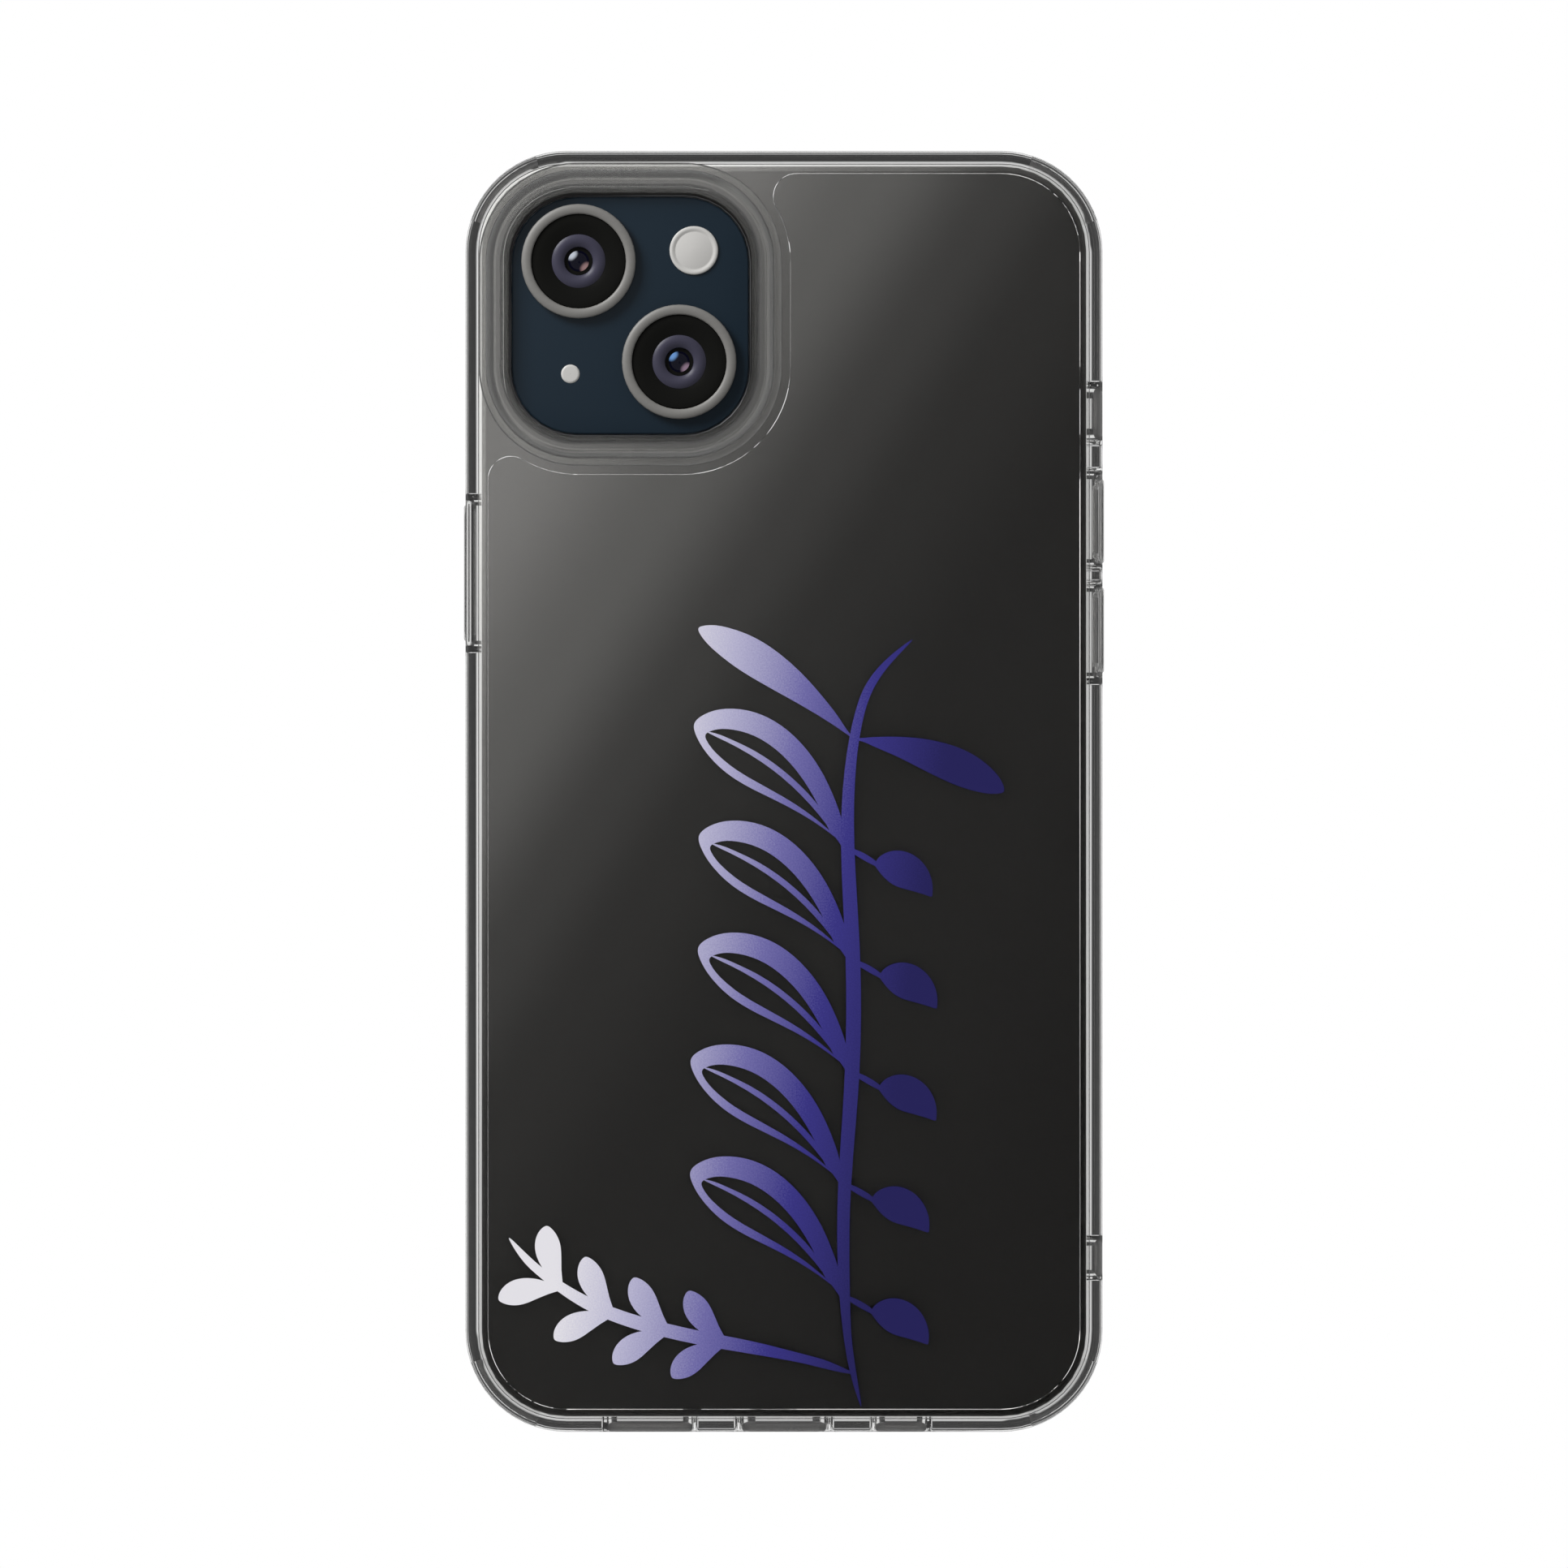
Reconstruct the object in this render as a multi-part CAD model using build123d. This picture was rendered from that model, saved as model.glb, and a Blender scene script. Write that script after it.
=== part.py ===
from build123d import *
import os
from math import atan2, cos, degrees, log, pi, sin

# A clear hybrid case for a large phone: a hard back panel in a soft bumper, with a raised camera
# guard, three flexing button pads and an ink print.
# All sizes are in millimetres. X runs across the case, Z runs up it with the camera at the top,
# and Y runs through it: the outer back faces -Y and the open screen side faces +Y.
# The origin is the centre of the face that the back of the phone rests on.

# The phone that the case holds
phone_width = 77.8
phone_length = 160.9
phone_depth = 7.8
phone_corner = 10.9
phone_clearance = 0.05

# The outer shape of the case
case_width = 82.0
case_length = 164.9
case_corner = 13.0
back_edge_round = 1.6
front_edge_round = 1.2

# The screen lip, which stands proud of the screen and hooks over its edge
lip_height = 1.2
lip_overhang = 1.1
lip_round = 0.4

# The back panel and its stepped edge, given as insets from the outer shape of the case
panel_thickness = 1.5
panel_step = 0.7
panel_inset = 1.62
ledge_inset = 2.6
panel_edge_break = 0.1
bond_gap = 0.02

# The raised dot field inside the panel, which keeps the phone off the clear surface
field_inset = 2.85
field_height = 0.1
field_slope = 0.09
field_turn = 3.0

# The camera guard ring, with sizes across its rounded square shapes
camera_x = -19.8
camera_z = 61.45
ring_across = 39.0
ring_corner = 12.7
ridge_across = 37.2
ridge_height = 2.4
ridge_round = 1.1
flange_height = 0.4
flange_round = 0.2
groove_width = 0.3
groove_depth = 0.2
mouth_across = 33.1
mouth_corner = 9.7
throat_across = 31.2
throat_corner = 8.8
mouth_round = 0.3
window_across = 34.6
field_gap_at_ring = 1.1

# The button pads: which side they are on (+1 is +X), their centre height, their length, and the
# length of the thin web below and above them
buttons = {
    "power_button": (-1, 28.1, 17.6, 1.5, 1.5),
    "volume_up": (1, 34.75, 10.9, 1.0, 1.6),
    "volume_down": (1, 20.75, 11.1, 1.5, 1.0),
}
pad_height = 3.4
pad_corner = 1.3
pad_proud = 0.2
pad_round = 0.45
pad_setback = 0.5
pad_hollow_depth = 0.6
pad_hollow_height = 2.6
pad_hollow_rim = 0.75
pad_hollow_corner = 0.65
web_height = 0.7
web_thickness = 0.45
web_setback = 1.0
web_corner = 1.6
web_gap = 0.03
window_flare = 0.35

# The openings through the walls: centre along the wall, length, and height through the wall
switch_opening = (48.65, 8.5, 4.6)
strap_opening = (-60.05, 5.9, 2.8)
port_openings = [(-17.25, 12.5, 4.0), (0.0, 12.95, 5.6), (15.05, 8.1, 4.0)]
opening_flare = 0.6
flare_angle = 45

# The air pockets that cushion the corners, cut into the inside of each corner wall
cushion_depth = 0.8
cushion_height = 5.6
cushion_start = 18
cushion_end = 72

# The printed sprig: a stem with looped leaves to its left and buds to its right, and a side shoot
# with small leaves. Points are X, Z.
ink_thickness = 0.04
ink_gap = 0.005
stem_points = [(9.8, -79.0), (7.6, -57), (9.0, -30), (8.2, -4), (10.5, 12), (16.5, 19.5)]
stem_width = 1.9
pair_count = 5
first_pair = 0.14
last_pair = 0.71
leaf_length = 25.5
leaf_width = 9.0
leaf_turn = 141
leaf_bow = -2.6
rib_width = 0.8
bud_gap = 4.0
bud_length = 8.4
bud_width = 4.6
bud_turn = -30
bud_bow = 1.2
stalk_bow = 0.1
crown_root = 0.85
crown_left_tip = (-11.0, 21.0)
crown_right_tip = (28.3, 0.0)
crown_width = 4.6
shoot_root = 0.04
shoot_points = [(-7.5, -71.0), (-24.0, -66.5), (-35.4, -57.5)]
shoot_width = 1.8
shoot_leaf_count = 4
first_shoot_leaf = 0.34
last_shoot_leaf = 0.8
shoot_leaf_length = 8.5
shoot_leaf_width = 3.3
shoot_leaf_spread = 42
shoot_leaf_bow = 0.7

# A stroke's form: how far along it is fullest, and how blunt its ends are (0.5 is round)
petal = (0.66, 0.6)
thorn = (0.42, 0.8)
spine = (0.5, 0.45)
stroke_steps = 9

# The open middle of a looped leaf, as shares of the leaf
loop_start = 0.13
loop_end = 0.93
loop_share = 0.56
loop_shift = 0.1

# Worked out from the sizes above
back_face = -panel_thickness
front_face = phone_depth + lip_height
middle_depth = phone_depth / 2
half_width = case_width / 2
half_length = case_length / 2
pocket_half_width = phone_width / 2 + phone_clearance
pocket_half_length = phone_length / 2 + phone_clearance
side_wall = half_width - pocket_half_width
end_wall = half_length - pocket_half_length
step_face = -panel_step


def slab(sketch, low, high):
    """A flat plate of the sketch, drawn as seen from the back, between two depths along Y."""
    return extrude(Plane.XZ.offset(-high) * sketch, amount=high - low)


def case_outline(inset):
    """The outer shape of the case, moved inwards."""
    return RectangleRounded(case_width - 2 * inset, case_length - 2 * inset, case_corner - inset)


def phone_outline(margin):
    """The outline of the phone, moved outwards."""
    width = phone_width + 2 * margin
    length = phone_length + 2 * margin
    return RectangleRounded(width, length, phone_corner + margin)


def camera_square(across, corner):
    """A rounded square around the middle of the camera."""
    return Pos(camera_x, camera_z) * RectangleRounded(across, across, corner)


def side_plane(side, x, z):
    """A plane across a long wall, facing out of the case, x from the middle of the case."""
    return Plane(origin=(side * x, middle_depth, z), x_dir=(0, 0, 1), z_dir=(side, 0, 0))


def bottom_plane(x, z):
    """A plane across the bottom wall, facing down out of the case, z below the middle."""
    return Plane(origin=(x, middle_depth, -z), x_dir=(1, 0, 0), z_dir=(0, 0, -1))


def opening(plane, sketch, wall, flare):
    """A cutter that runs out through a wall from the plane, and flares where it leaves the wall."""
    start = plane.offset(-wall)
    straight = extrude(start * sketch, amount=3 * wall)
    mouth = extrude(plane.offset(wall - flare) * sketch, amount=2 * flare, taper=-flare_angle)
    return straight + mouth


def window_sketch(length, web_below, web_above):
    """The window around a pad, drawn from the pad's own centre."""
    window_length = length + web_below + web_above
    shift = (web_above - web_below) / 2
    return Pos(shift, 0) * RectangleRounded(
        window_length, pad_height + 2 * web_height, web_corner
    )


def wall_openings():
    """Every opening through the walls of the bumper: pads, switch, strap, port and speakers."""
    cutters = []
    for side, centre, length, web_below, web_above in buttons.values():
        plane = side_plane(side, pocket_half_width, centre)
        window = window_sketch(length, web_below, web_above)
        cutters.append(opening(plane, window, side_wall, window_flare))
    for centre, length, height in (switch_opening, strap_opening):
        plane = side_plane(1, pocket_half_width, centre)
        cutters.append(opening(plane, SlotOverall(length, height), side_wall, opening_flare))
    for centre, length, height in port_openings:
        plane = bottom_plane(centre, pocket_half_length)
        cutters.append(opening(plane, SlotOverall(length, height), end_wall, opening_flare))
    return cutters


def corner_cushions():
    """The four air pockets, each a band around the inside of a corner between two angles."""
    radius = phone_corner + phone_clearance
    reach = radius + cushion_depth
    centre_x = pocket_half_width - radius
    centre_z = pocket_half_length - radius
    band = Circle(reach) - Circle(radius - cushion_depth)
    start = PolarLine((0, 0), 2 * reach, cushion_start)
    end = PolarLine((0, 0), 2 * reach, cushion_end)
    wedge = make_face([start, Line(start @ 1, end @ 1), end])
    low = middle_depth - cushion_height / 2
    pocket = slab(Pos(centre_x, centre_z) * (band & wedge), low, low + cushion_height)
    right_pair = [pocket, mirror(pocket, about=Plane.XY)]
    return right_pair + [mirror(one, about=Plane.YZ) for one in right_pair]


def bumper_frame():
    """The soft frame, with the pocket, the lip, the panel's stepped seat and all its openings."""
    body = slab(case_outline(0), back_face, front_face)
    back_edges = body.faces().sort_by(Axis.Y)[0].edges()
    body = body.fillet(back_edge_round, back_edges)
    front_edges = body.faces().sort_by(Axis.Y)[-1].edges()
    body = body.fillet(front_edge_round, front_edges)
    body -= slab(phone_outline(phone_clearance), 0, phone_depth)
    body -= slab(phone_outline(phone_clearance - lip_overhang), phone_depth, front_face)
    body -= slab(case_outline(panel_inset), back_face, step_face)
    body -= slab(case_outline(ledge_inset), step_face, 0)
    mouth_edges = body.faces().sort_by(Axis.Y)[-1].inner_wires()[0].edges()
    body = body.fillet(lip_round, mouth_edges)
    for cutter in wall_openings() + corner_cushions():
        body -= cutter
    return body


def dot_field():
    """The outline of the raised dot field: the panel's shape, turned back around the camera."""
    field = case_outline(field_inset)
    keep_out = ring_across + 2 * field_gap_at_ring
    around = camera_square(keep_out, ring_corner + field_gap_at_ring)
    corner = Pos(camera_x - keep_out / 2, camera_z + keep_out / 2) * Rectangle(keep_out, keep_out)
    field = field - around - corner
    turns = field.vertices().sort_by_distance((camera_x - keep_out / 2, camera_z + keep_out / 2))
    return fillet(turns[:2], field_turn)


def back_panel():
    """The hard clear plate: an outer plate, a smaller inner step and the raised dot field."""
    outer = slab(case_outline(panel_inset + bond_gap), back_face, step_face - bond_gap)
    outer_edges = outer.faces().sort_by(Axis.Y)[0].edges()
    outer = outer.chamfer(panel_edge_break, None, outer_edges)
    inner = slab(case_outline(ledge_inset + bond_gap), step_face - bond_gap, -field_height)
    field = slab(dot_field(), -field_height, 0)
    field = field.chamfer(field_slope, None, field.faces().sort_by(Axis.Y)[-1].edges())
    window_corner = ring_corner - (ring_across - window_across) / 2
    window = slab(camera_square(window_across, window_corner), back_face, 0)
    return outer + inner + field - window


def camera_guard_ring():
    """A crowned ridge on a thin flange, with a neck down through the panel's camera window."""
    flange_low = back_face - bond_gap - flange_height
    ridge_top = back_face - ridge_height
    neck_across = window_across - 2 * bond_gap
    neck_corner = ring_corner - (ring_across - neck_across) / 2
    ridge_corner = ring_corner - (ring_across - ridge_across) / 2
    flange = slab(camera_square(ring_across, ring_corner), flange_low, back_face - bond_gap)
    flange = flange.fillet(flange_round, flange.faces().sort_by(Axis.Y)[0].edges())
    ridge = slab(camera_square(ridge_across, ridge_corner), ridge_top, flange_low)
    ridge = ridge.fillet(ridge_round, ridge.faces().sort_by(Axis.Y)[0].edges())
    neck = slab(camera_square(neck_across, neck_corner), back_face - bond_gap, -field_height)
    groove = slab(
        camera_square(ridge_across + 2 * groove_width, ridge_corner + groove_width)
        - camera_square(ridge_across, ridge_corner),
        flange_low,
        flange_low + groove_depth,
    )
    throat = loft(
        [
            Plane.XZ * camera_square(throat_across, throat_corner),
            Plane.XZ.offset(-ridge_top) * camera_square(mouth_across, mouth_corner),
        ]
    )
    ring = flange + ridge + neck - groove - throat
    mouth_edges = ring.faces().sort_by(Axis.Y)[0].inner_wires()[0].edges()
    return ring.fillet(mouth_round, mouth_edges)


def button_cover(side, centre, length):
    """A crowned pad with a hollow behind it that the phone's own button sits in."""
    inner_x = pocket_half_width + pad_setback
    outer_x = half_width + pad_proud
    plane = side_plane(side, inner_x, centre)
    pad = extrude(
        plane * RectangleRounded(length, pad_height, pad_corner), amount=outer_x - inner_x
    )
    face = pad.faces().sort_by(Axis.X)[-1 if side > 0 else 0]
    pad = pad.fillet(pad_round, face.edges())
    hollow = RectangleRounded(length - 2 * pad_hollow_rim, pad_hollow_height, pad_hollow_corner)
    return pad - extrude(plane * hollow, amount=pad_hollow_depth)


def button_web(side, centre, length, web_below, web_above):
    """The thin skin that joins a pad to the window around it."""
    outer = offset(window_sketch(length, web_below, web_above), -bond_gap)
    inner = RectangleRounded(
        length + 2 * web_gap, pad_height + 2 * web_gap, pad_corner + web_gap
    )
    plane = side_plane(side, pocket_half_width + web_setback, centre)
    return extrude(plane * (outer - inner), amount=web_thickness)


def stroke(path, width, form, start=0.0, end=1.0, shift=0.0):
    """A filled brush stroke along part of a path, moved sideways by shift."""
    fullest, bluntness = form
    power = log(0.5) / log(fullest)
    left, right = [], []
    for step in range(stroke_steps + 1):
        share = (1 - cos(pi * step / stroke_steps)) / 2
        place = start + (end - start) * share
        along = path % place
        across = Vector(-along.Y, along.X)
        half = width / 2 * abs(sin(pi * share**power)) ** bluntness
        left.append(path @ place + across * (shift + half))
        right.append(path @ place + across * (shift - half))
    return make_face(Spline(left + right[-2:0:-1], periodic=True))


def bowed_path(base, tip, bow):
    """A shallow curve between two points, bowed to its left."""
    along = tip - base
    across = Vector(-along.Y, along.X).normalized()
    return Spline([base, base + along / 2 + across * bow, tip])


def away(root, reach, turn):
    """The point at a distance from root, at an angle from +X."""
    return root + Vector(reach, 0).rotate(Axis.Z, turn)


def looped_leaf(path, width):
    """A petal with an open middle set to one side, so that it has a thick and a thin edge, and a rib."""
    middle = stroke(path, width * loop_share, petal, loop_start, loop_end, width * loop_shift)
    rib = stroke(path, rib_width, spine, 0, loop_end, width * loop_shift / 2)
    return stroke(path, width, petal) - middle + rib


def leaf_pair(root):
    """A looped leaf to the left of the stem and a bud on a thin stalk to its right."""
    leaf_path = bowed_path(root, away(root, leaf_length, leaf_turn), leaf_bow)
    bud_root = away(root, bud_gap, bud_turn)
    bud_tip = away(bud_root, bud_length, bud_turn)
    bud = stroke(bowed_path(bud_root, bud_tip, bud_bow), bud_width, thorn)
    stalk_tip = away(bud_root, rib_width, bud_turn)
    stalk = stroke(bowed_path(root, stalk_tip, stalk_bow), rib_width, spine)
    return looped_leaf(leaf_path, leaf_width) + bud + stalk


def side_shoot(root):
    """The low shoot that leans out to the left, with small leaves along both of its sides."""
    path = Spline([root] + [Vector(*point) for point in shoot_points])
    shoot = stroke(path, shoot_width, spine)
    for step in range(shoot_leaf_count):
        share = step / (shoot_leaf_count - 1)
        place = first_shoot_leaf + (last_shoot_leaf - first_shoot_leaf) * share
        along = path % place
        heading = degrees(atan2(along.Y, along.X))
        for side in (1, -1):
            tip = away(path @ place, shoot_leaf_length, heading + side * shoot_leaf_spread)
            leaf_path = bowed_path(path @ place, tip, -side * shoot_leaf_bow)
            shoot += stroke(leaf_path, shoot_leaf_width, petal)
    return shoot


def printed_artwork():
    """The ink layer: one long sprig that rises up the panel, with a pair of leaves at its crown."""
    stem = Spline([Vector(*point) for point in stem_points])
    sprig = stroke(stem, stem_width, spine) + side_shoot(stem @ shoot_root)
    for step in range(pair_count):
        share = step / (pair_count - 1)
        sprig += leaf_pair(stem @ (first_pair + (last_pair - first_pair) * share))
    crown = stem @ crown_root
    sprig += stroke(bowed_path(crown, Vector(*crown_left_tip), -bud_bow), crown_width, petal)
    sprig += stroke(bowed_path(crown, Vector(*crown_right_tip), bud_bow), crown_width, petal)
    ink_face = back_face - ink_gap
    return slab(sprig, ink_face - ink_thickness, ink_face)


def write(name, shape):
    export_step(shape, f"parts/{name}.step")


def main():
    os.makedirs("parts", exist_ok=True)
    write("back_panel", back_panel())
    write("bumper_frame", bumper_frame())
    write("camera_guard_ring", camera_guard_ring())
    write("printed_artwork", printed_artwork())
    for name, (side, centre, length, web_below, web_above) in buttons.items():
        write(f"{name}_cover", button_cover(side, centre, length))
        write(f"{name}_web", button_web(side, centre, length, web_below, web_above))


main()
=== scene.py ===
import math

import bpy
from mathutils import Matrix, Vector


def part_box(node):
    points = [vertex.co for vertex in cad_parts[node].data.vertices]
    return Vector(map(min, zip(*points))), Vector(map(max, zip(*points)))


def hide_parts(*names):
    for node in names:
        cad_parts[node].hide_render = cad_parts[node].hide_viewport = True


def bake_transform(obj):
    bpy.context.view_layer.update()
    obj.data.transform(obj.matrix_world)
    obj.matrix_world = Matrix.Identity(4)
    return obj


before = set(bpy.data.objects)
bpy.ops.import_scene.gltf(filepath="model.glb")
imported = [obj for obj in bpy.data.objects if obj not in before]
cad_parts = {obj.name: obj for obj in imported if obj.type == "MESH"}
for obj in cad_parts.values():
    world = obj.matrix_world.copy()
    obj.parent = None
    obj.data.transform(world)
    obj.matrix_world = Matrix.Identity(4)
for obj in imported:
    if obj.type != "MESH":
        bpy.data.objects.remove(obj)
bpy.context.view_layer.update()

# A clear phone case on its own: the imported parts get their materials, the flexing webs around the
# buttons are rebuilt as soft skins, and a plain dark dummy, a pale floor and soft light are staged.
# All sizes are in metres. The case's outer back faces -Y, its open side faces +Y, and Z is up.

MM = 0.001

# The moving body of each button
body_of = {
    "power_button": "power_button",
    "volume_up": "volume_up_button",
    "volume_down": "volume_down_button",
}

# Where the case is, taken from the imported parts
case_low, case_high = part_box("bumper_frame")
ring_low, ring_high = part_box("camera_guard_ring")
case_centre = (case_low + case_high) / 2
ring_centre = (ring_low + ring_high) / 2
case_width = case_high.x - case_low.x
case_length = case_high.z - case_low.z
screen_lip = 1.2 * MM
bay_depth = case_high.y - screen_lip

# The view: square on to the back, with the case a little below the middle of the frame
frame_width = case_width * 2.462
camera_rise = 0.95 * MM
camera_distance = 0.5

# The dummy that stands in for the dark back of a phone, and the walls of the case around it
long_wall = 2.1 * MM
end_wall = 2.0 * MM
dummy_gap = 0.06 * MM
dummy_corner = 10.85 * MM
dummy_edge_round = 0.9 * MM
plateau_across = 30.6 * MM
plateau_corner = 8.5 * MM
plateau_height = 1.9 * MM
plateau_edge_round = 0.3 * MM
plateau_drop = 0.2 * MM
lens_offset = 6.48 * MM
lens_shift = Vector((-0.17, 0, 0.34)) * MM
flash_offset = 8.2 * MM
hole_offset = 7.7 * MM

# The dummy's camera, as radius and rise above the plateau in millimetres
lens_ring_profile = [(7.37, -0.5), (7.37, 0.9), (7.2, 1.1), (6.3, 1.1), (6.1, 0.9), (6.1, 0.3)]
lens_well_profile = [(6.1, 0.3), (6.05, 0.72), (5.9, 0.74), (3.5, 0.74), (3.45, 0.7)]
lens_floor_profile = [(2.0, 0.03), (0.02, 0.03)]
iris_profile = [(3.46, 0.72), (3.45, 0.75), (1.9, 0.5), (1.85, 0.4), (1.8, -0.4)]
eye_profile = [(1.7, -0.9), (1.6, -0.35), (1.3, 0.1), (0.9, 0.4), (0.5, 0.56), (0.02, 0.62)]
flash_profile = [
    (3.13, -0.2), (3.13, 0.2), (3.0, 0.3), (2.65, 0.3), (2.5, 0.15), (2.35, 0.2), (0.02, 0.25)
]
hole_profile = [(1.2, -0.2), (1.2, 0.02), (0.9, 0.03), (0.02, 0.03)]

# The polished strip around the plateau, as reach beyond it and rise above it in millimetres
rim_profile = [(0.1, 0.05), (0.22, 0.2)]

# The lenses' glass, whose colour is emitted rather than lit: its dark colour, where on it the painted
# cool and warm highlights face, how far each painted highlight reaches (the cosine of the angle at its
# edge), and their colours in the left and the right lens
glass_colour = (8, 8, 22)
painted_cool_glint = Vector((-0.5, -0.72, 0.48))
painted_warm_glint = Vector((0.52, -0.7, -0.48))
painted_glint_edge = 0.86
painted_glint_colours = {-1: ((190, 196, 208), (140, 112, 112)), 1: ((104, 146, 200), (132, 110, 128))}

# The soft light for the dummy's camera, and where it is from the middle of the guard ring
soft_light_size = 0.16
soft_light_power = 4.5
soft_light_place = Vector((-0.26, -0.19, 0.24))

# The webs: how far they rise from the wall to the pad, how thick they are, and their corners
web_rise = 0.5 * MM
web_thickness = 0.3 * MM
window_corner = 1.57 * MM
pad_corner = 1.33 * MM

# How finely the curves are cut: rows of a web, and steps in a corner, an edge and a full turn
web_rows = 6
corner_steps = 8
edge_steps = 6
turn_steps = 48

# The hairline scratches in the plastics: their scale, fine across and long along, and their turns
scratch_scale = (2600, 2600, 26)
scratch_turns = (0.5, -0.9)

# How strongly the two clear plastics bend light
tpu_ior = 1.49
polycarbonate_ior = 1.585

# The print's blend from white to navy: where it starts and ends across the case, how much it leans
# with height, how far its grains scatter it, and its colours
ink_start = -19 * MM
ink_end = 20 * MM
ink_lean = -0.16
ink_scatter = 3.2 * MM
ink_colours = [
    (0.00, (236, 234, 240)),
    (0.25, (186, 183, 214)),
    (0.50, (112, 107, 172)),
    (0.72, (50, 44, 134)),
    (1.00, (22, 16, 88)),
]

# The light card behind the camera, whose glow shows as the sheen across the back: the glow grows
# along a line turned from +X towards +Z, over this reach to each side of the card's middle
card_distance = 0.62
card_half = 0.16
card_strength = 1.8
card_colour = (1.0, 0.985, 0.955, 1)
sheen_turn = math.radians(146.8)
sheen_reach = 60 * MM
sheen_levels = [(0.0, 0.0), (0.42, 0.03), (0.57, 0.08), (0.66, 0.18), (0.78, 0.5), (0.95, 1.0)]

# The corners of a square sheet, in order
square = [(-1, -1), (1, -1), (1, 1), (-1, 1)]

# The floor, and the distances from the case over which it fades out
floor_half = 0.5
fade_start = 0.10
fade_end = 0.30

# Angles between a ray and the line of sight, in degrees: the world is bright straight behind the
# case, dark in a ring around that, and bright again to the sides. Seen from its sides or its open
# front, the case is never lit by less than open_side_level from any direction.
backdrop_angle = 3.0
dark_start = 5.0
dark_end = 30.0
bright_start = 42.0
backdrop_level = 0.68
dark_level = 0.012
bright_level = 0.9
open_side_level = 0.3

# How far the camera must look along +Y to count as seeing the back, and the most it may look up or
# down to count as level
least_back_sight = 0.25
level_sight = 0.02


class Graph:
    """A node tree of a material or a world, with short calls for the nodes used here."""

    def __init__(self, owner):
        owner.use_nodes = True
        self.tree = owner.node_tree
        self.tree.nodes.clear()

    def plug(self, socket, value):
        if isinstance(value, bpy.types.NodeSocket):
            self.tree.links.new(value, socket)
        else:
            socket.default_value = value

    def node(self, kind, inputs=None, **settings):
        made = self.tree.nodes.new("ShaderNode" + kind)
        for name, value in settings.items():
            setattr(made, name, value)
        for name, value in (inputs or {}).items():
            self.plug(made.inputs[name], value)
        return made

    def math(self, operation, *values):
        made = self.node("Math", operation=operation)
        for socket, value in zip(made.inputs, values):
            self.plug(socket, value)
        return made.outputs[0]

    def ramp(self, factor, stops, interpolation="LINEAR"):
        """A colour ramp through (position, grey or colour) stops."""
        made = self.node("ValToRGB", {"Fac": factor})
        made.color_ramp.interpolation = interpolation
        elements = made.color_ramp.elements
        while len(elements) < len(stops):
            elements.new(1.0)
        for element, (place, colour) in zip(elements, stops):
            element.position = place
            grey = isinstance(colour, (int, float))
            element.color = (colour, colour, colour, 1) if grey else (*colour, 1)
        return made.outputs["Color"]

    def noise(self, place, scale, detail=2.0, roughness=0.5):
        inputs = {"Vector": place, "Scale": scale, "Detail": detail, "Roughness": roughness}
        return self.node("TexNoise", inputs).outputs["Fac"]

    def stretched(self, place, scale, turn=0.0):
        inputs = {"Vector": place, "Scale": scale, "Rotation": (0, turn, 0)}
        return self.node("Mapping", inputs).outputs["Vector"]

    def spread(self, value, low, high):
        """The 0 to 1 value, spread between two levels."""
        inputs = {"Value": value, "To Min": low, "To Max": high}
        return self.node("MapRange", inputs).outputs["Result"]

    def share(self, value, start, end, interpolation="LINEAR"):
        """How far the value is from start to end, from 0 to 1."""
        inputs = {"Value": value, "From Min": start, "From Max": end}
        return self.node("MapRange", inputs, interpolation_type=interpolation).outputs["Result"]

    def object_place(self):
        return self.node("TexCoord").outputs["Object"]

    def finish(self, shader, kind="OutputMaterial"):
        self.plug(self.node(kind).inputs["Surface"], shader)


def linear(red, green, blue):
    """A display colour, 0 to 255, as scene light."""
    return tuple(
        c / 12.92 if c <= 0.04045 else ((c + 0.055) / 1.055) ** 2.4
        for c in (red / 255, green / 255, blue / 255)
    )


def hairlines(graph, place, turn):
    """Sparse fine scratches that run one way: 1 in a scratch and 0 elsewhere."""
    lines = graph.noise(graph.stretched(place, scratch_scale, turn), 1.0, 1.0)
    return graph.ramp(lines, [(0.70, 0.0), (0.74, 1.0)])


def clear_plastic(name, tint, ior, clarity, polish, smudge, texture, gloss=0.0):
    """A clear moulded plastic with faint finger smudges, hairline scratches and mould texture."""
    material = bpy.data.materials.new(name)
    graph = Graph(material)
    place = graph.object_place()
    smudges = graph.noise(place, 55.0, 4.0, 0.6)
    roughness = graph.spread(smudges, polish, polish + smudge)
    scratches = graph.math("ADD", *[hairlines(graph, place, turn) for turn in scratch_turns])
    grain = graph.noise(place, 900.0, 2.0)
    height = graph.math("ADD", scratches, grain)
    bump = graph.node("Bump", {"Height": height, "Strength": texture, "Distance": 0.002 * MM})
    shader = graph.node(
        "BsdfPrincipled",
        {
            "Base Color": (*tint, 1),
            "Roughness": roughness,
            "IOR": ior,
            "Transmission Weight": clarity,
            "Coat Weight": gloss,
            "Normal": bump.outputs["Normal"],
        },
    )
    graph.finish(shader.outputs["BSDF"])
    return material


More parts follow.
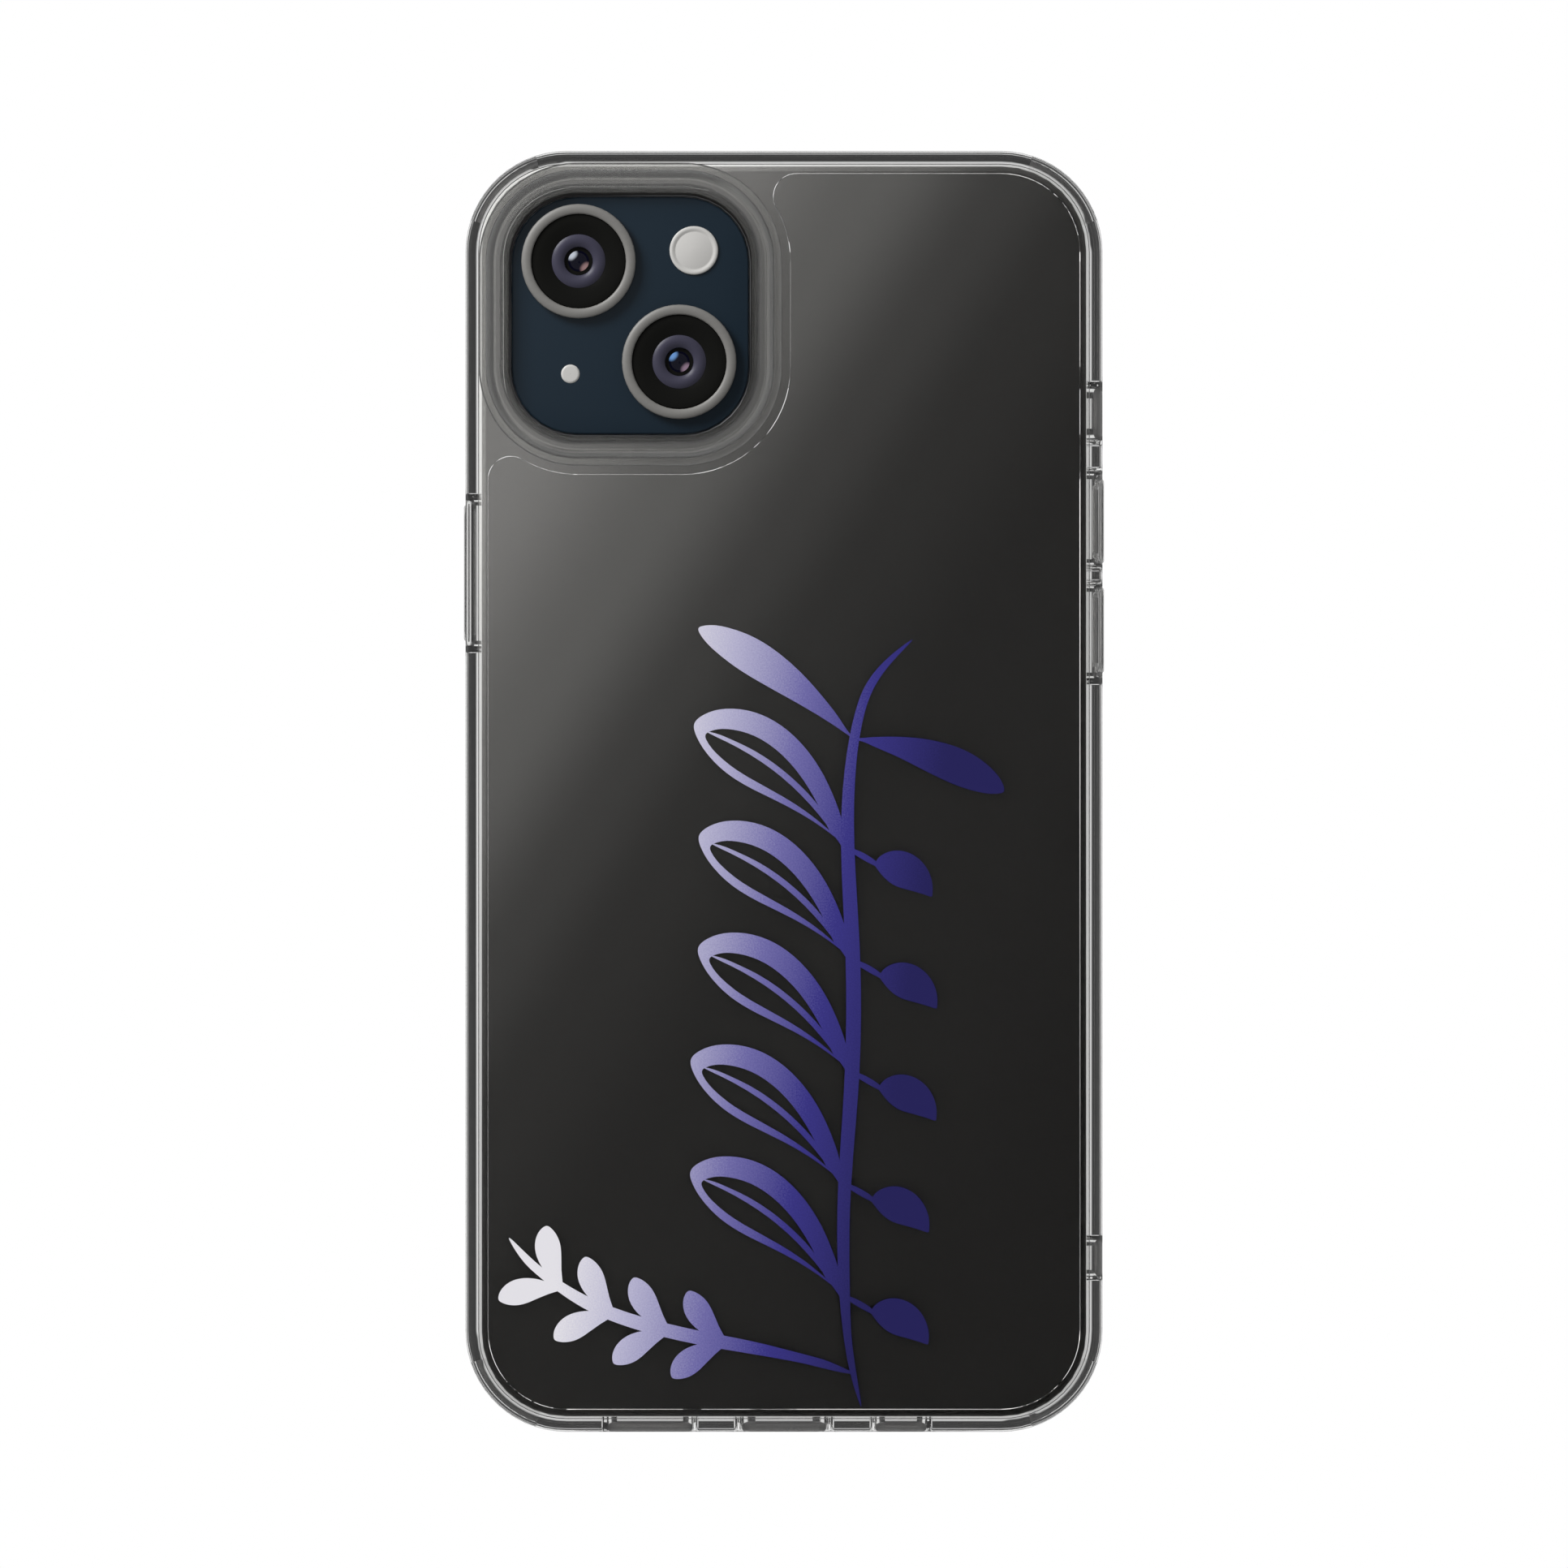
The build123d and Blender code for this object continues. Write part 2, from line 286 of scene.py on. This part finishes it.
def printed_ink():
    """Cured ink with a grainy blend from white at its upper left to navy at its lower right."""
    material = bpy.data.materials.new("printed_ink")
    graph = Graph(material)
    place = graph.object_place()
    axes = graph.node("SeparateXYZ", {"Vector": place})
    slant = graph.math("MULTIPLY_ADD", axes.outputs["Z"], ink_lean, axes.outputs["X"])
    grains = graph.spread(graph.noise(place, 5200.0, 1.0), -ink_scatter, ink_scatter)
    share = graph.share(graph.math("ADD", slant, grains), ink_start, ink_end)
    colour = graph.ramp(share, [(stop, linear(*shown)) for stop, shown in ink_colours])
    height = graph.noise(place, 2400.0, 2.0)
    bump = graph.node("Bump", {"Height": height, "Strength": 0.25, "Distance": 0.01 * MM})
    shader = graph.node(
        "BsdfPrincipled",
        {
            "Base Color": colour,
            "Roughness": graph.spread(graph.noise(place, 70.0, 3.0), 0.34, 0.5),
            "Specular IOR Level": 0.2,
            "Normal": bump.outputs["Normal"],
        },
    )
    graph.finish(shader.outputs["BSDF"])
    return material


def coat(node, material):
    """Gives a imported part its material."""
    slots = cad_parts[node].data.materials
    slots.clear()
    slots.append(material)


def rounded_loop(half_across, half_along, corner):
    """Points around a rounded rectangle, as (across, along) pairs."""
    points = []
    for quarter, (u, v) in enumerate(((1, 1), (-1, 1), (-1, -1), (1, -1))):
        for step in range(corner_steps + 1):
            angle = math.pi / 2 * (quarter + step / corner_steps)
            across = u * (half_across - corner) + corner * math.cos(angle)
            along = v * (half_along - corner) + corner * math.sin(angle)
            points.append((across, along))
    return points


def mesh_through(name, loops, closed=False, capped=False):
    """A smooth mesh through loops of points; closed joins the last loop to the first."""
    count = len(loops[0])
    rows = len(loops)
    faces = []
    for row in range(rows if closed else rows - 1):
        for column in range(count):
            right = (column + 1) % count
            below = (row + 1) % rows
            faces.append(
                (
                    row * count + column,
                    row * count + right,
                    below * count + right,
                    below * count + column,
                )
            )
    if capped:
        faces.append(tuple(reversed(range(count))))
        faces.append(tuple(range((rows - 1) * count, rows * count)))
    mesh = bpy.data.meshes.new(name)
    mesh.from_pydata([point for loop in loops for point in loop], [], faces)
    mesh.validate()
    mesh.shade_smooth()
    made = bpy.data.objects.new(name, mesh)
    bpy.context.scene.collection.objects.link(made)
    return made


def mix(a, b, share):
    return a + (b - a) * share


def web_skin(name, button, material):
    """The soft skin that rises in a curve from the window's edge to the pad."""
    web_low, web_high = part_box(f"{button}_web")
    pad_low, pad_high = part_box(f"{button}_cover")
    side = 1 if pad_high.x > 0 else -1
    root = (web_low.x + web_high.x) / 2 - side * web_rise / 2
    window = Vector((web_high.y - web_low.y, web_high.z - web_low.z)) / 2
    window_middle = (web_low + web_high) / 2
    pad = Vector((pad_high.y - pad_low.y, pad_high.z - pad_low.z)) / 2
    pad_middle = (pad_low + pad_high) / 2

    def loop(share, depth):
        ease = share * share * (3 - 2 * share)
        x = root + side * (web_rise * ease - depth)
        points = rounded_loop(
            mix(window.x, pad.x, share),
            mix(window.y, pad.y, share),
            mix(window_corner, pad_corner, share),
        )
        y = mix(window_middle.y, pad_middle.y, share)
        z = mix(window_middle.z, pad_middle.z, share)
        return [(x, y + across, z + along) for across, along in points]

    shares = [row / (web_rows - 1) for row in range(web_rows)]
    outer = [loop(share, 0.0) for share in shares]
    inner = [loop(share, web_thickness) for share in reversed(shares)]
    made = mesh_through(name, outer + inner, closed=True)
    made.data.materials.append(material)
    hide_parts(f"{button}_web")
    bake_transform(made)
    return made


def sight(graph, axis):
    """One part of the direction that the camera looks in."""
    forward = graph.node(
        "VectorTransform",
        {"Vector": (0, 0, 1)},
        vector_type="VECTOR",
        convert_from="CAMERA",
        convert_to="WORLD",
    )
    return graph.node("SeparateXYZ", {"Vector": forward.outputs["Vector"]}).outputs[axis]


def seen_from_back(graph):
    """1 when the camera looks at the outer back of the case, and 0 from its sides or open front."""
    return graph.math("GREATER_THAN", sight(graph, "Y"), least_back_sight)


def shown_from_back(graph, shader):
    """The shader where the camera is on the back's side, and nothing otherwise."""
    clear = graph.node("BsdfTransparent").outputs["BSDF"]
    blend = graph.node("MixShader", {"Fac": seen_from_back(graph), 1: clear, 2: shader})
    graph.finish(blend.outputs["Shader"])


def dummy_finish(name, colour, roughness, gloss=0.1, metallic=0.0):
    """A plain finish with a slightly uneven gloss, for the dummy."""
    material = bpy.data.materials.new(name)
    graph = Graph(material)
    place = graph.object_place()
    rough = graph.spread(graph.noise(place, 120.0, 3.0), roughness * 0.85, roughness * 1.15)
    shader = graph.node(
        "BsdfPrincipled",
        {
            "Base Color": (*linear(*colour), 1),
            "Roughness": rough,
            "Metallic": metallic,
            "Specular IOR Level": gloss,
        },
    )
    shown_from_back(graph, shader.outputs["BSDF"])
    return material


def rounded_block(name, centre, half_x, half_z, corner, back, front, edge_round):
    """A rounded slab between two depths, with rounded edges at both."""
    loops = []
    for depth, sign in ((back, 1), (front, -1)):
        order = range(edge_steps + 1) if sign > 0 else range(edge_steps, -1, -1)
        for step in order:
            angle = math.pi / 2 * step / edge_steps
            inset = edge_round * (1 - math.sin(angle))
            y = depth + sign * edge_round * (1 - math.cos(angle))
            points = rounded_loop(half_x - inset, half_z - inset, corner - inset)
            loops.append([(centre.x + u, y, centre.z + v) for u, v in points])
    return mesh_through(name, loops, capped=True)


def turned(name, x, z, profile):
    """A round part turned about a line along Y, through (radius, depth) points."""
    loops = []
    for radius, depth in profile:
        loop = []
        for step in range(turn_steps):
            angle = 2 * math.pi * step / turn_steps
            loop.append((x + radius * math.cos(angle), depth, z + radius * math.sin(angle)))
        loops.append(loop)
    return mesh_through(name, loops)


def dummy_body():
    """The dark slab that fills the case's bay."""
    body = rounded_block(
        "dummy_body", case_centre,
        case_width / 2 - long_wall, case_length / 2 - end_wall, dummy_corner,
        dummy_gap, bay_depth - dummy_gap, dummy_edge_round,
    )
    body.data.materials.append(dummy_finish("dummy_back", (49, 48, 47), 0.45))
    return body


def dummy_plateau(centre):
    """The raised blue-black square that carries the lenses."""
    half = plateau_across / 2
    plateau = rounded_block(
        "dummy_plateau", centre, half, half, plateau_corner,
        -plateau_height, dummy_edge_round, plateau_edge_round,
    )
    plateau.data.materials.append(dummy_finish("dummy_plateau", (12, 22, 30), 0.3))
    return plateau


def plateau_rim(centre):
    """A thin polished strip around the plateau, which leans outwards and catches the soft light."""
    loops = []
    for reach, rise in rim_profile:
        half = plateau_across / 2 + reach * MM
        points = rounded_loop(half, half, plateau_corner + reach * MM)
        depth = -plateau_height - rise * MM
        loops.append([(centre.x + u, depth, centre.z + v) for u, v in points])
    strip = mesh_through("dummy_plateau_rim", loops)
    strip.data.materials.append(dummy_finish("dummy_rim", (120, 120, 122), 0.35, 0.5, 1.0))
    return strip


def lens_glass(name, cool, warm):
    """Dark glass shown by emission, not lit, with a painted cool highlight at its upper left and a
    painted warm one at its lower right.
    """
    material = bpy.data.materials.new(name)
    graph = Graph(material)
    normal = graph.node("NewGeometry").outputs["Normal"]
    colour = (*linear(*glass_colour), 1)
    # Painted highlights: a cool and a warm colour mixed in where the surface faces set directions
    for toward, glint in ((painted_cool_glint, cool), (painted_warm_glint, warm)):
        facing = graph.node(
            "VectorMath", {0: normal, 1: toward.normalized()}, operation="DOT_PRODUCT"
        ).outputs["Value"]
        share = graph.share(facing, painted_glint_edge, 1.0, "SMOOTHSTEP")
        blend = graph.node("Mix", {"Factor": share}, data_type="RGBA")
        graph.plug(blend.inputs[6], colour)
        graph.plug(blend.inputs[7], (*linear(*glint), 1))
        colour = blend.outputs[2]
    # The glass's dark colour and its painted highlights are emitted, so it glows the same under any light
    shader = graph.node(
        "BsdfPrincipled",
        {
            "Base Color": (0, 0, 0, 1),
            "Roughness": 0.1,
            "Specular IOR Level": 0.1,
            "Emission Color": colour,
            "Emission Strength": 1.0,
        },
    )
    shown_from_back(graph, shader.outputs["BSDF"])
    return material


def staged_part(name, x, z, profile, material):
    """A round part of the dummy's camera, whose profile is given in millimetres."""
    points = [(radius * MM, -plateau_height - rise * MM) for radius, rise in profile]
    made = turned(name, x, z, points)
    made.data.materials.append(material)
    return made


def dummy_lenses():
    """The two lenses, at the upper left and the lower right; returns what the soft light reaches."""
    metal = dummy_finish("dummy_metal", (76, 75, 73), 0.5, 0.3)
    black = dummy_finish("dummy_black", (10, 10, 9), 0.3, 0.02)
    iris = dummy_finish("dummy_iris", (36, 35, 46), 0.4)
    lit = []
    for side in (-1, 1):
        x = ring_centre.x + lens_shift.x + side * lens_offset
        z = ring_centre.z + lens_shift.z - side * lens_offset
        glass = lens_glass(f"dummy_glass_painted_glints_{side + 2}", *painted_glint_colours[side])
        for name, profile, material in (
            ("dummy_lens_ring", lens_ring_profile, metal),
            ("dummy_lens_well", lens_well_profile, black),
            ("dummy_iris", iris_profile, iris),
            ("dummy_lens_floor", lens_floor_profile, black),
        ):
            lit.append(staged_part(name, x, z, profile, material))
        staged_part("dummy_lens_eye_painted_glints", x, z, eye_profile, glass)
    return lit


def dummy_flash_and_hole():
    """The flash at the upper right and the small hole at the lower left."""
    pale = dummy_finish("dummy_pale", (132, 131, 129), 0.35)
    made = []
    for name, offset, profile in (
        ("dummy_flash", flash_offset, flash_profile),
        ("dummy_hole", -hole_offset, hole_profile),
    ):
        made.append(staged_part(name, ring_centre.x + offset, ring_centre.z + offset, profile, pale))
    return made


def staged_dummy():
    """A plain dark dummy that fills the case where its back is seen, and its softly lit camera."""
    plateau_centre = ring_centre - Vector((0, 0, plateau_drop))
    body = dummy_body()
    plateau = dummy_plateau(plateau_centre)
    rim = plateau_rim(plateau_centre)
    soft_light([plateau, rim] + dummy_lenses() + dummy_flash_and_hole())


def staged_sheet(name, corners, place, material):
    """A flat sheet through four corners, moved to a place."""
    mesh = bpy.data.meshes.new(name)
    mesh.from_pydata(corners, [], [(0, 1, 2, 3)])
    mesh.materials.append(material)
    sheet = bpy.data.objects.new(name, mesh)
    sheet.location = place
    bpy.context.scene.collection.objects.link(sheet)
    return sheet


def light_card():
    """The card behind the camera: a glow that fades from its upper left to its lower right."""
    material = bpy.data.materials.new("light_card")
    graph = Graph(material)
    place = graph.object_place()
    axes = graph.node("SeparateXYZ", {"Vector": place})
    across = graph.math("MULTIPLY", axes.outputs["X"], math.cos(sheen_turn))
    along = graph.math("MULTIPLY_ADD", axes.outputs["Z"], math.sin(sheen_turn), across)
    glow = graph.ramp(graph.share(along, -sheen_reach, sheen_reach), sheen_levels, "EASE")
    strength = graph.math("MULTIPLY", glow, card_strength)
    emission = graph.node("Emission", {"Color": card_colour, "Strength": strength})
    shown_from_back(graph, emission.outputs["Emission"])
    corners = [(u * card_half, 0, v * card_half) for u, v in square]
    card = staged_sheet("light_card", corners, (case_centre.x, -card_distance, case_centre.z), material)
    card.visible_camera = False
    card.visible_diffuse = False
    card.visible_shadow = False


def studio_world():
    """Bright straight behind the case, a dark ring around that, and bright sides; white to the camera."""
    world = bpy.data.worlds.new("studio")
    bpy.context.scene.world = world
    graph = Graph(world)
    ray = graph.node("TexCoord").outputs["Camera"]
    unit = graph.node("VectorMath", {0: ray}, operation="NORMALIZE").outputs["Vector"]
    facing = graph.node("SeparateXYZ", {"Vector": unit}).outputs["Z"]
    angle = graph.math("DIVIDE", graph.math("ARCCOSINE", facing), math.pi)
    ringed = graph.ramp(
        angle,
        [
            (backdrop_angle / 180, backdrop_level),
            (dark_start / 180, dark_level),
            (dark_end / 180, dark_level),
            (bright_start / 180, bright_level),
        ],
    )
    open_level = graph.math("SUBTRACT", open_side_level, seen_from_back(graph))
    level = graph.math("MAXIMUM", ringed, open_level)
    seen = graph.node("LightPath").outputs["Is Camera Ray"]
    background = graph.node("Background", {"Color": graph.math("MAXIMUM", level, seen)})
    graph.finish(background.outputs["Background"], "OutputWorld")


def pale_floor():
    """A pale floor that the case stands on, which fades out into the white around it.

    It is left out where the camera looks exactly level, since it would be seen edge on, as a bright
    line through the clear walls.
    """
    material = bpy.data.materials.new("pale_floor")
    graph = Graph(material)
    place = graph.object_place()
    distance = graph.node("VectorMath", {0: place}, operation="LENGTH").outputs["Value"]
    fade = graph.share(distance, fade_start, fade_end, "SMOOTHSTEP")
    level = graph.math("LESS_THAN", graph.math("ABSOLUTE", sight(graph, "Z")), level_sight)
    hidden = graph.math("MAXIMUM", fade, level)
    speckle = graph.spread(graph.noise(place, 300.0, 3.0), 0.90, 0.94)
    matt = graph.node("BsdfDiffuse", {"Color": speckle}).outputs["BSDF"]
    clear = graph.node("BsdfTransparent").outputs["BSDF"]
    graph.finish(graph.node("MixShader", {"Fac": hidden, 1: matt, 2: clear}).outputs["Shader"])
    corners = [(u * floor_half, v * floor_half, 0) for u, v in square]
    staged_sheet("pale_floor", corners, (case_centre.x, case_centre.y, case_low.z), material)


def soft_light(lit):
    """A square soft light, above and to the left of the dummy's camera, for the given objects alone."""
    data = bpy.data.lights.new("soft_light", "AREA")
    data.shape = "SQUARE"
    data.size = soft_light_size
    data.energy = soft_light_power
    light = bpy.data.objects.new("soft_light", data)
    light.location = ring_centre + soft_light_place
    light.rotation_mode = "QUATERNION"
    light.rotation_quaternion = (ring_centre - light.location).to_track_quat("-Z", "Y")
    bpy.context.scene.collection.objects.link(light)
    receivers = bpy.data.collections.new("lit_by_soft_light")
    for thing in lit:
        receivers.objects.link(thing)
    light.light_linking.receiver_collection = receivers


def photograph_camera():
    """A level camera without perspective, square on to the back."""
    data = bpy.data.cameras.new("camera")
    data.type = "ORTHO"
    data.ortho_scale = frame_width
    camera = bpy.data.objects.new("camera", data)
    camera.location = (case_centre.x, -camera_distance, case_centre.z + camera_rise)
    camera.rotation_euler = (math.pi / 2, 0, 0)
    bpy.context.scene.collection.objects.link(camera)
    bpy.context.scene.camera = camera


tpu = clear_plastic(
    "clear_tpu", (0.9, 0.9, 0.895), tpu_ior, clarity=1.0, polish=0.005, smudge=0.02, texture=0.06
)
ring_tpu = clear_plastic(
    "clear_tpu_ring", (0.64, 0.64, 0.63), tpu_ior,
    clarity=0.94, polish=0.0, smudge=0.02, texture=0.002, gloss=0.1,
)
polycarbonate = clear_plastic(
    "clear_polycarbonate", (0.975, 0.975, 0.97), polycarbonate_ior,
    clarity=1.0, polish=0.01, smudge=0.015, texture=0.05,
)

coat("bumper_frame", tpu)
coat("camera_guard_ring", ring_tpu)
coat("back_panel", polycarbonate)
coat("printed_artwork", printed_ink())
for button in body_of:
    coat(f"{button}_cover", tpu)
    web_skin(f"{button}_skin", button, tpu)

staged_dummy()
light_card()
pale_floor()
studio_world()
photograph_camera()

scene = bpy.context.scene
scene.view_settings.view_transform = "Standard"
scene.cycles.use_denoising = True
scene.cycles.max_bounces = 24
scene.cycles.transmission_bounces = 20
scene.cycles.transparent_max_bounces = 24
